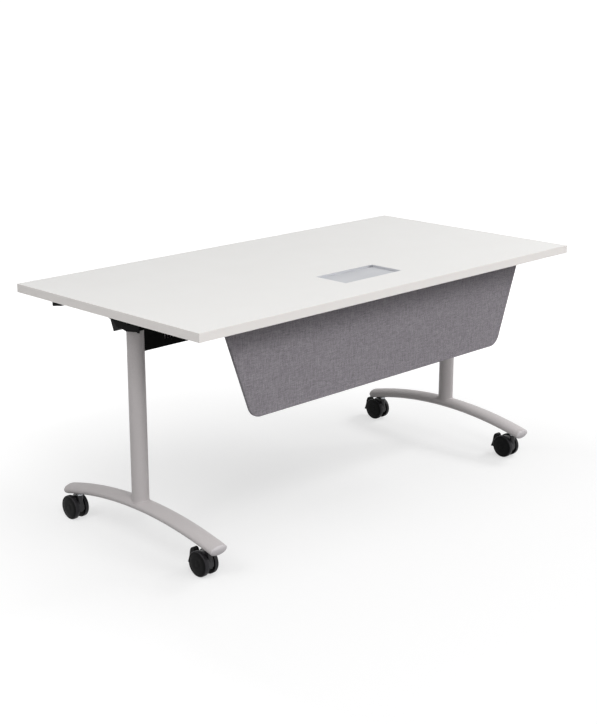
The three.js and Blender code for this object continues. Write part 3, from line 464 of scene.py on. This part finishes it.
def together(*shells):
    """Several shells as one."""
    points, faces = [], []
    for more_points, more_faces in shells:
        start = len(points)
        points += more_points
        faces += [tuple(start + k for k in face) for face in more_faces]
    return points, faces


def lathe(profile, at, axis, segments):
    """Rings of (radius, height) about an axis through a point."""
    axis = Vector(axis).normalized()
    side = axis.orthogonal().normalized()
    up = axis.cross(side)
    return loft([
        [Vector(at) + axis * high + (side * math.cos(a) + up * math.sin(a)) * radius for a in turns(segments)]
        for radius, high in profile
    ])


def arc(centre, radius, start, stop, steps):
    """Points on a circle in a plane, from start to stop in degrees."""
    angles = [math.radians(start + (stop - start) * k / steps) for k in range(steps + 1)]
    return [(centre[0] + radius * math.cos(a), centre[1] + radius * math.sin(a)) for a in angles]


def curve(start, control, stop, steps):
    """Points on a quadratic curve, without its start."""
    made = []
    for k in range(1, steps + 1):
        t = k / steps
        a, b, c = (1 - t) ** 2, 2 * t * (1 - t), t ** 2
        made.append(tuple(a * p + b * q + c * r for p, q, r in zip(start, control, stop)))
    return made


def across_x(outline, low, high):
    """An outline in Y and Z, drawn out along X."""
    return loft([[(x, y, z) for y, z in outline] for x in (low, high)])


def across_y(outline, low, high):
    """An outline in X and Z, drawn out along Y."""
    return loft([[(x, y, z) for x, z in outline] for y in (low, high)])


def ribs(start, step, count, radius, low, high):
    """Bars along X from low to high. The first is at start, in Y and Z, and each next one a step on."""
    made = []
    for k in range(count):
        heart = (start[0] + step[0] * k, start[1] + step[1] * k)
        made.append(across_x(arc(heart, radius, 0, RIB_TURN, RIB_STEPS), low, high))
    return made


def screw(at, normal, radius, rise):
    """A pan-head screw with a hexagon socket, standing on a surface."""
    axis = Vector(normal).normalized()
    side = axis.orthogonal().normalized()
    up = axis.cross(side)
    sixth = math.pi / 6
    rings = []
    for size, high, hexagon in SCREW_RINGS:
        ring = []
        for a in turns(SCREW_SEGMENTS):
            reach = radius * size
            if hexagon:
                reach *= math.cos(sixth) / math.cos(a % (2 * sixth) - sixth)
            ring.append(Vector(at) + axis * (rise * high) + (side * math.cos(a) + up * math.sin(a)) * reach)
        rings.append(ring)
    return loft(rings)


# Pieces
def piece(name, shell, sharp=SHARP, bevel=0.0, segments=3):
    """A mesh object of a shell. A bevel rounds its sharp edges."""
    mesh = bpy.data.meshes.new(name)
    mesh.from_pydata(shell[0], [], shell[1])
    edit = bmesh.new()
    edit.from_mesh(mesh)
    bmesh.ops.recalc_face_normals(edit, faces=edit.faces)
    edit.to_mesh(mesh)
    edit.free()
    made = bpy.data.objects.new(name, mesh)
    bpy.context.scene.collection.objects.link(made)
    soften(made, sharp, bevel, segments)
    return made


def soften(made, sharp=SHARP, bevel=0.0, segments=3):
    """Smooth shading, with sharp edges kept, or rounded by a bevel."""
    made.data.shade_smooth()
    if not bevel:
        made.data.set_sharp_from_angle(angle=math.radians(sharp))
        return
    rounding = made.modifiers.new("rounding", "BEVEL")
    rounding.width = bevel
    rounding.segments = segments
    rounding.limit_method = "ANGLE"
    rounding.angle_limit = math.radians(sharp)
    normals = made.modifiers.new("normals", "WEIGHTED_NORMAL")
    normals.keep_sharp = True


def dress(made, finish):
    made.data.materials.clear()
    made.data.materials.append(MATERIALS[finish])


def stands_for(made, *names):
    """The piece takes the place, the body and the finish of these nodes."""
    dress(made, SLOT_OF[names[0]])
    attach(made, BODY_OF[names[0]])
    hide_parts(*names)
    return made


def goes_with(made, node, slot):
    """The piece is fixed to the node's body and has the finish of a slot."""
    dress(made, slot)
    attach(made, BODY_OF[node])


def middle(node):
    low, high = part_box(node)
    return (low + high) / 2


# Camera and studio
def make_camera():
    data = bpy.data.cameras.new("camera")
    data.sensor_width = SENSOR_MM
    data.lens = SENSOR_MM * FOCAL_PIXELS / FRAME_HEIGHT_PIXELS
    data.clip_end = CAMERA_REACH
    camera = bpy.data.objects.new("camera", data)
    bpy.context.scene.collection.objects.link(camera)
    turn, lift = math.radians(CAMERA_AZIMUTH), math.radians(CAMERA_ELEVATION)
    back = Vector((math.sin(turn) * math.cos(lift), -math.cos(turn) * math.cos(lift), math.sin(lift)))
    camera.location = CAMERA_AT
    camera.rotation_mode = "QUATERNION"
    camera.rotation_quaternion = (-back).to_track_quat("-Z", "Y")
    bpy.context.scene.camera = camera


def make_studio():
    world = bpy.data.worlds.new("studio")
    bpy.context.scene.world = world
    world.use_nodes = True
    tree = world.node_tree
    background = tree.nodes["Background"]
    sky = add(tree, "ShaderNodeTexCoord").outputs["Generated"]
    height = add(tree, "ShaderNodeSeparateXYZ", {"Vector": sky}).outputs["Z"]
    light = spread(tree, height, *AMBIENT, 0, 1)
    tree.links.new(math_node(tree, "MAXIMUM", light, seen_directly(tree)), background.inputs["Strength"])
    background.inputs["Color"].default_value = (1, 1, 1, 1)

    corners = [(x * FLOOR_HALF, y * FLOOR_HALF, 0) for x, y in ((-1, -1), (1, -1), (1, 1), (-1, 1))]
    mesh = bpy.data.meshes.new("floor")
    mesh.from_pydata(corners, [], [(0, 1, 2, 3)])
    floor = bpy.data.objects.new("floor", mesh)
    bpy.context.scene.collection.objects.link(floor)
    floor.data.materials.append(floor_material())

    for lamp in LAMPS:
        make_lamp(*lamp)


def make_lamp(name, at, aim, size, power):
    data = bpy.data.lights.new(name, "AREA")
    data.shape = "RECTANGLE"
    data.size, data.size_y = size
    data.energy = power
    lamp = bpy.data.objects.new(name, data)
    bpy.context.scene.collection.objects.link(lamp)
    lamp.location = at
    lamp.rotation_mode = "QUATERNION"
    lamp.rotation_quaternion = (Vector(aim) - Vector(at)).to_track_quat("-Z", "Y")


def floor_material():
    """White floor that keeps a pale shadow."""
    material = bpy.data.materials.new("floor")
    material.use_nodes = True
    tree = material.node_tree
    tree.nodes.remove(tree.nodes["Principled BSDF"])
    matt = add(tree, "ShaderNodeBsdfDiffuse", {"Color": (FLOOR_TONE, FLOOR_TONE, FLOOR_TONE, 1)})
    apart = add(tree, "ShaderNodeVectorMath", {0: place(tree), 1: GLOW_CENTRE}, operation="DISTANCE")
    white = spread(tree, apart.outputs["Value"], *FLOOR_GLOW, *GLOW_REACH)
    share = math_node(tree, "MULTIPLY", seen_directly(tree), white)
    glow = add(tree, "ShaderNodeEmission", {"Color": (1, 1, 1, 1), "Strength": share})
    both = add(tree, "ShaderNodeAddShader", {0: matt.outputs[0], 1: glow.outputs[0]})
    tree.links.new(both.outputs[0], tree.nodes["Material Output"].inputs["Surface"])
    return material


# Feet and columns
def foot_arch(side):
    """Middle x, height of the arch's centre, half angle and half width of one foot."""
    low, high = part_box(f"foot_{side}")
    half = math.asin(high.y / (FOOT_RADIUS + FOOT_HEIGHT / 2))
    return (low.x + high.x) / 2, high.z - FOOT_HEIGHT / 2 - FOOT_RADIUS, half, (high.x - low.x) / 2


def make_foot(side):
    """The arched oval tube and the domed caps at its ends."""
    x, arch, half, wide = foot_arch(side)
    thick = FOOT_HEIGHT / 2
    angles = turns(FOOT_SEGMENTS)

    def section(lean):
        ring = []
        for a in angles:
            reach = FOOT_RADIUS + thick * math.sin(a)
            ring.append((x + wide * math.cos(a), reach * math.sin(lean), arch + reach * math.cos(lean)))
        return ring

    rings = [section(half * (2 * k / FOOT_STEPS - 1)) for k in range(FOOT_STEPS + 1)]
    stands_for(piece(f"foot_tube_{side}", loft(rings)), f"foot_{side}")

    for end, sign in (("front", -1), ("rear", 1)):
        node = f"foot_cap_{side}_{end}"
        low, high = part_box(node)
        base = Vector((x, sign * FOOT_RADIUS * math.sin(half), arch + FOOT_RADIUS * math.cos(half)))
        ahead = Vector((0, sign * math.cos(half), -math.sin(half)))
        up = Vector((0, sign * math.sin(half), math.cos(half)))
        tip = high.y if sign > 0 else -low.y
        length = (tip - abs(base.y)) / math.cos(half)
        dome = list(CAP_SEAM)
        for a in (math.radians(degrees) for degrees in CAP_DEGREES):
            dome.append((math.cos(a), length * math.sin(a)))
        rings = []
        for size, far in dome:
            heart = base + ahead * far
            aside, rise = Vector((wide * size, 0, 0)), up * (thick * size)
            rings.append([heart + aside * math.cos(a) + rise * math.sin(a) for a in angles])
        stands_for(piece(f"foot_end_{side}_{end}", loft(rings), SHARP_ROUND), node)


def make_column(side):
    """The tube, cut to the foot's round back, and the weld bead at its base."""
    x, arch, _, wide = foot_arch(side)

    def back(px, py):
        """Height of the foot's back at a place from the column's axis."""
        rise = FOOT_HEIGHT / 2 * math.sqrt(max(0.0, 1 - (px / wide) ** 2))
        return arch + math.sqrt((FOOT_RADIUS + rise) ** 2 - py ** 2)

    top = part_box(f"column_{side}")[1].z
    circle = [(math.cos(a), math.sin(a)) for a in turns(COLUMN_SEGMENTS)]
    base = [(COLUMN_RADIUS * c, COLUMN_RADIUS * s) for c, s in circle]
    rings = [[(x + px, py, back(px, py)) for px, py in base]]
    upper = (
        (COLUMN_RADIUS, top - COLUMN_LIP),
        (COLUMN_RADIUS - COLUMN_LIP, top),
        (COLUMN_BORE, top),
        (COLUMN_BORE, top - COLUMN_BORE_DEPTH),
    )
    for radius, z in upper:
        rings.append([(x + radius * c, radius * s, z) for c, s in circle])
    stands_for(piece(f"column_tube_{side}", loft(rings)), f"column_{side}")

    bead = []
    for px, py in base:
        out = Vector((px, py, 0)).normalized()
        heart = Vector((x + px, py, back(px, py))) + out * WELD_SHIFT
        bead.append([
            heart + out * (WELD_RADIUS * math.cos(a)) + Vector((0, 0, WELD_RADIUS * math.sin(a)))
            for a in turns(WELD_SEGMENTS)
        ])
    weld = piece(f"foot_weld_{side}", loft(bead, closed=True), SHARP_ROUND)
    goes_with(weld, f"column_{side}", "silver_paint")


# Casters
def make_caster(corner):
    stem = middle(f"caster_stem_{corner}")
    axle = middle(f"caster_axle_{corner}")
    for end, sign in (("left", -1), ("right", 1)):
        make_wheel(corner, end, sign, axle)

    body = f"caster_body_{corner}"
    low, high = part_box(body)
    half, tall = high.x - axle.x, high.z - low.z
    hub = (axle.y, axle.z)
    cowl = arc(hub, COWL_RADIUS, *COWL_ANGLES, COWL_STEPS)
    cowl += arc(hub, COWL_HUB, *COWL_HUB_ANGLES, COWL_HUB_STEPS)
    neck = [
        (NECK_RADIUS, 0.0),
        (NECK_RADIUS, tall - NECK_LIP),
        (NECK_RADIUS - NECK_LIP, tall),
        (NECK_BORE, tall),
        (NECK_BORE, NECK_BORE_FLOOR),
    ]
    shells = [
        across_x(cowl, axle.x - half, axle.x + half),
        lathe(neck, (stem.x, stem.y, low.z), (0, 0, 1), NECK_SEGMENTS),
    ]
    if f"brake_pedal_{corner}" in NODES:
        shells.append(pedal_ear(axle))
        make_pedal(corner, axle)
    made = stands_for(piece(f"caster_cowl_{corner}", together(*shells), SHARP_MOULDED, COWL_BEVEL), body)
    # The cowl takes a lighter, shinier copy of black plastic; the lighter colour is a painted highlight.
    dress(made, "cowl_painted_highlight")


def make_wheel(corner, end, sign, axle):
    """A wheel whose rim takes a lighter copy of the wheel's plastic, a painted highlight where the tread
    catches the light.
    """
    node = f"caster_wheel_{corner}_{end}"
    low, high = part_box(node)
    inner = high.x if sign < 0 else low.x
    profile = [(radius * MM, wide * MM) for radius, wide in WHEEL_PROFILE]
    shell = lathe(profile, (inner, axle.y, axle.z), (sign, 0, 0), WHEEL_SEGMENTS)
    wheel = stands_for(piece(f"wheel_{corner}_{end}", shell, SHARP_MOULDED), node)
    wheel.data.materials.append(MATERIALS["wheel_rim_painted_highlight"])
    for face in wheel.data.polygons:
        away = face.center - axle
        if math.hypot(away.y, away.z) > TREAD_START and abs(face.normal.x) < TREAD_LEAN:
            face.material_index = 1


def pedal_ear(axle):
    """The ear between the wheels that carries the pedal's pin."""
    pin = axle + PEDAL_PIN
    along = PEDAL_PIN.normalized()
    side = Vector((0, -along.z, along.y)) * PEDAL_EAR_RADIUS
    turn = math.degrees(math.atan2(along.z, along.y))
    start, stop = axle + side, axle - side
    outline = [(start.y, start.z), (stop.y, stop.z)]
    outline += arc((pin.y, pin.z), PEDAL_EAR_RADIUS, turn - 90, turn + 90, PEDAL_EAR_STEPS)
    return across_x(outline, axle.x - PEDAL_EAR_HALF, axle.x + PEDAL_EAR_HALF)


def make_pedal(corner, axle):
    """Two cheeks that meet in a solid toe and a crown outside the ear's reach, with ridges on the toe."""
    outline = [PEDAL_TOE]
    for control, stop in PEDAL_CURVES:
        outline += curve(outline[-1], control, stop, PEDAL_CURVE_STEPS)
    outline.pop()
    toe = outline[:PEDAL_TOE_POINTS] + list(PEDAL_TOE_BACK)
    crown = [(y, z) for y, z in outline if z > PEDAL_CROWN]

    def bar(side_view, low, high):
        placed = [(axle.y + y * MM, axle.z + z * MM) for y, z in side_view]
        return across_x(placed, axle.x + low, axle.x + high)

    fill = PEDAL_CHEEK + PEDAL_LAP
    shells = [bar(outline, side * PEDAL_CHEEK, side * PEDAL_HALF) for side in (-1, 1)]
    shells += [bar(part, -fill, fill) for part in (toe, crown)]
    start = (axle.y + RIDGE_START[0], axle.z + RIDGE_START[1])
    half = PEDAL_HALF - RIDGE_INSET
    shells += ribs(start, RIDGE_STEP, RIDGE_COUNT, RIDGE_RADIUS, axle.x - half, axle.x + half)
    made = piece(f"pedal_{corner}", together(*shells), SHARP_MOULDED, PEDAL_BEVEL)
    stands_for(made, f"brake_pedal_{corner}")


# Modesty panel
def make_panel():
    """A board with slanted ends, round lower corners and a notch over each hinge knuckle."""
    low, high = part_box("modesty_panel")
    knuckle_low, knuckle_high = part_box("panel_knuckle_right")
    lean = math.atan2(high.x - PANEL_BOTTOM_HALF, high.z - low.z)
    slant = math.degrees(lean)
    reach = PANEL_CORNER * math.tan((math.pi / 2 - lean) / 2)
    corner_x, corner_z = PANEL_BOTTOM_HALF - reach, low.z + PANEL_CORNER
    outline = arc((-corner_x, corner_z), PANEL_CORNER, 180 + slant, 270, PANEL_CORNER_STEPS)
    outline += arc((corner_x, corner_z), PANEL_CORNER, -90, -slant, PANEL_CORNER_STEPS)
    outline += [(high.x, high.z)]
    notch_x = (knuckle_low.x + knuckle_high.x) / 2
    notch_half = (knuckle_high.x - knuckle_low.x) / 2 + NOTCH_MARGIN
    notch_z = high.z - NOTCH_DEPTH
    for x in (notch_x, -notch_x):
        right, left = x + notch_half, x - notch_half
        outline += [(right, high.z), (right, notch_z), (left, notch_z), (left, high.z)]
    outline += [(-high.x, high.z)]
    board = across_y(outline, low.y, high.y)
    panel = piece("panel_cover", board, PANEL_SHARP, PANEL_SOFT_EDGE, PANEL_SOFT_STEPS)
    stands_for(panel, "modesty_panel")


# Small parts
def make_spring(side):
    """Coil of round wire on the lever's pin."""
    at = middle(f"lever_pin_{side}")
    rings = []
    for k in range(SPRING_TURNS * SPRING_STEPS + 1):
        turn = 2 * math.pi * k / SPRING_STEPS
        out = Vector((0, math.cos(turn), math.sin(turn)))
        ahead = Vector((0, -math.sin(turn), math.cos(turn))) * SPRING_RADIUS
        ahead.x = SPRING_PITCH / (2 * math.pi)
        over = ahead.normalized().cross(out)
        along = SPRING_PITCH * (k / SPRING_STEPS - SPRING_TURNS / 2)
        heart = at + Vector((along, 0, 0)) + out * SPRING_RADIUS
        rings.append([
            heart + (out * math.cos(a) + over * math.sin(a)) * SPRING_WIRE / 2 for a in turns(WIRE_SEGMENTS)
        ])
    stands_for(piece(f"spring_coil_{side}", loft(rings), SHARP_ROUND), f"lever_spring_{side}")


def make_lever_grip(side):
    """Ribs across the rear face of a lever's handle."""
    node = f"release_lever_{side}"
    low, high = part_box(node)
    pin = middle(f"lever_pin_{side}")
    start = (pin.y + GRIP_START[0], pin.z + GRIP_START[1])
    shells = ribs(start, GRIP_STEP, GRIP_COUNT, GRIP_RADIUS, low.x + GRIP_INSET, high.x - GRIP_INSET)
    goes_with(piece(f"lever_grip_{side}", together(*shells), SHARP_ROUND), node, "black_plastic")


def make_sockets():
    """Socket faces on the sloping rear edge of the outlet block, with black plates standing for the slits;
    the slits' darkness is painted shade.
    """
    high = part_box("outlet_block")[1]
    heart = Vector((0, high.y - OUTLET_BEVEL / 2, high.z - OUTLET_BEVEL / 2))
    out, up = Vector((0, 1, 1)).normalized(), Vector((0, -1, 1)).normalized()

    def plate(x, half_wide, half_tall, corner, levels):
        outline = []
        for turn, right, top in ((0, 1, 1), (90, -1, 1), (180, -1, -1), (270, 1, -1)):
            centre = (x + right * (half_wide - corner), top * (half_tall - corner))
            outline += arc(centre, corner, turn, turn + 90, SOCKET_CORNER_STEPS)
        return loft([
            [heart + Vector((a, 0, 0)) + up * b + out * level for a, b in outline] for level in levels
        ])

    faces, slits = [], []
    for x in (-SOCKET_PITCH, 0, SOCKET_PITCH):
        faces.append(plate(x, *SOCKET_FACE, SOCKET_LEVELS))
        for aside in (-SLIT_ASIDE, SLIT_ASIDE):
            slits.append(plate(x + aside, *SLIT_FACE, SLIT_LEVELS))
    goes_with(piece("socket_faces", together(*faces), bevel=SOCKET_BEVEL), "outlet_block", "silver_plastic")
    # Black plates in place of open slits: painted shade.
    goes_with(piece("socket_slit_shades", together(*slits)), "outlet_block", "black_plastic")


def make_slot_backs():
    """Plates inside the beam that close its cable slots from behind."""
    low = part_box("cross_beam")[0]
    front = low.y + SLOT_BACK_DEPTH
    bottom, top = (low.z + height for height in SLOT_BACK_HEIGHTS)
    for side, sign in (("left", -1), ("right", 1)):
        left, right = sign * SLOT_BACK_X - SLOT_BACK_HALF, sign * SLOT_BACK_X + SLOT_BACK_HALF
        outline = [(left, bottom), (right, bottom), (right, top), (left, top)]
        shell = across_y(outline, front, front + SLOT_BACK_THICKNESS)
        goes_with(piece(f"slot_back_{side}", shell, bevel=SLOT_BACK_BEVEL), "cross_beam", "silver_plastic")


def add_screws(name, node, spots, normal, size):
    shells = [screw(at, normal, *size) for at in spots]
    goes_with(piece(name, together(*shells)), node, "bright_steel")


def make_screws():
    """Screws that hold brackets, hinges, straps and the recess frame to what carries them."""
    for side in SIDES:
        node = f"hinge_bracket_{side}"
        low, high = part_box(node)
        x, z = middle(node).x, high.z - BRACKET_PLATE
        front, rear = low.y + BRACKET_SCREW_FRONT, high.y - BRACKET_SCREW_REAR
        spots = [(x + dx, y, z) for dx in (-BRACKET_SCREW_ASIDE, BRACKET_SCREW_ASIDE) for y in (front, rear)]
        spots.append((x, front, z))
        add_screws(f"bracket_screws_{side}", node, spots, DOWN, BRACKET_SCREW)

        node = f"panel_hinge_{side}"
        low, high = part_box(node)
        x, z = middle(node).x, high.z - HINGE_LEAF
        spots = [(x, y, z) for y in (low.y + HINGE_SCREW_INSET, high.y - HINGE_SCREW_INSET)]
        add_screws(f"hinge_screws_{side}", node, spots, DOWN, HINGE_SCREW)

        node = f"panel_knuckle_{side}"
        low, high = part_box(node)
        x, z = middle(node).x, low.z + STRAP_SCREW_HEIGHT
        spots = [(x + dx, high.y, z) for dx in (-STRAP_SCREW_ASIDE, STRAP_SCREW_ASIDE)]
        add_screws(f"strap_screws_{side}", node, spots, REAR, SMALL_SCREW)

    low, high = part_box("recess_frame")
    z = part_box("hinge_bracket_left")[1].z - FRAME_FLANGE
    front, rear = low.y + FRAME_SCREW_INSET, high.y - FRAME_SCREW_INSET
    spots = [(x, y, z) for x in (-FRAME_SCREW_PITCH, 0, FRAME_SCREW_PITCH) for y in (front, rear)]
    add_screws("frame_screws", "recess_frame", spots, DOWN, SMALL_SCREW)


def finish_nodes():
    """CAD nodes that keep their shape get slightly rounded edges and their slot's material."""
    for name, node in NODES.items():
        dress(node, "recess_rim" if name == "recess_frame" else SLOT_OF[name])
        width = next((size for start, size in NODE_ROUNDING.items() if name.startswith(start)), 0.0)
        soften(node, bevel=width * MM)


MATERIALS = make_materials()
make_camera()
make_studio()
finish_nodes()
for each_side in SIDES:
    make_foot(each_side)
    make_column(each_side)
for each_caster in CASTERS:
    make_caster(each_caster)
make_panel()
for each_side in SIDES:
    make_spring(each_side)
    make_lever_grip(each_side)
make_sockets()
make_slot_backs()
make_screws()

bpy.context.scene.view_settings.view_transform = "Standard"
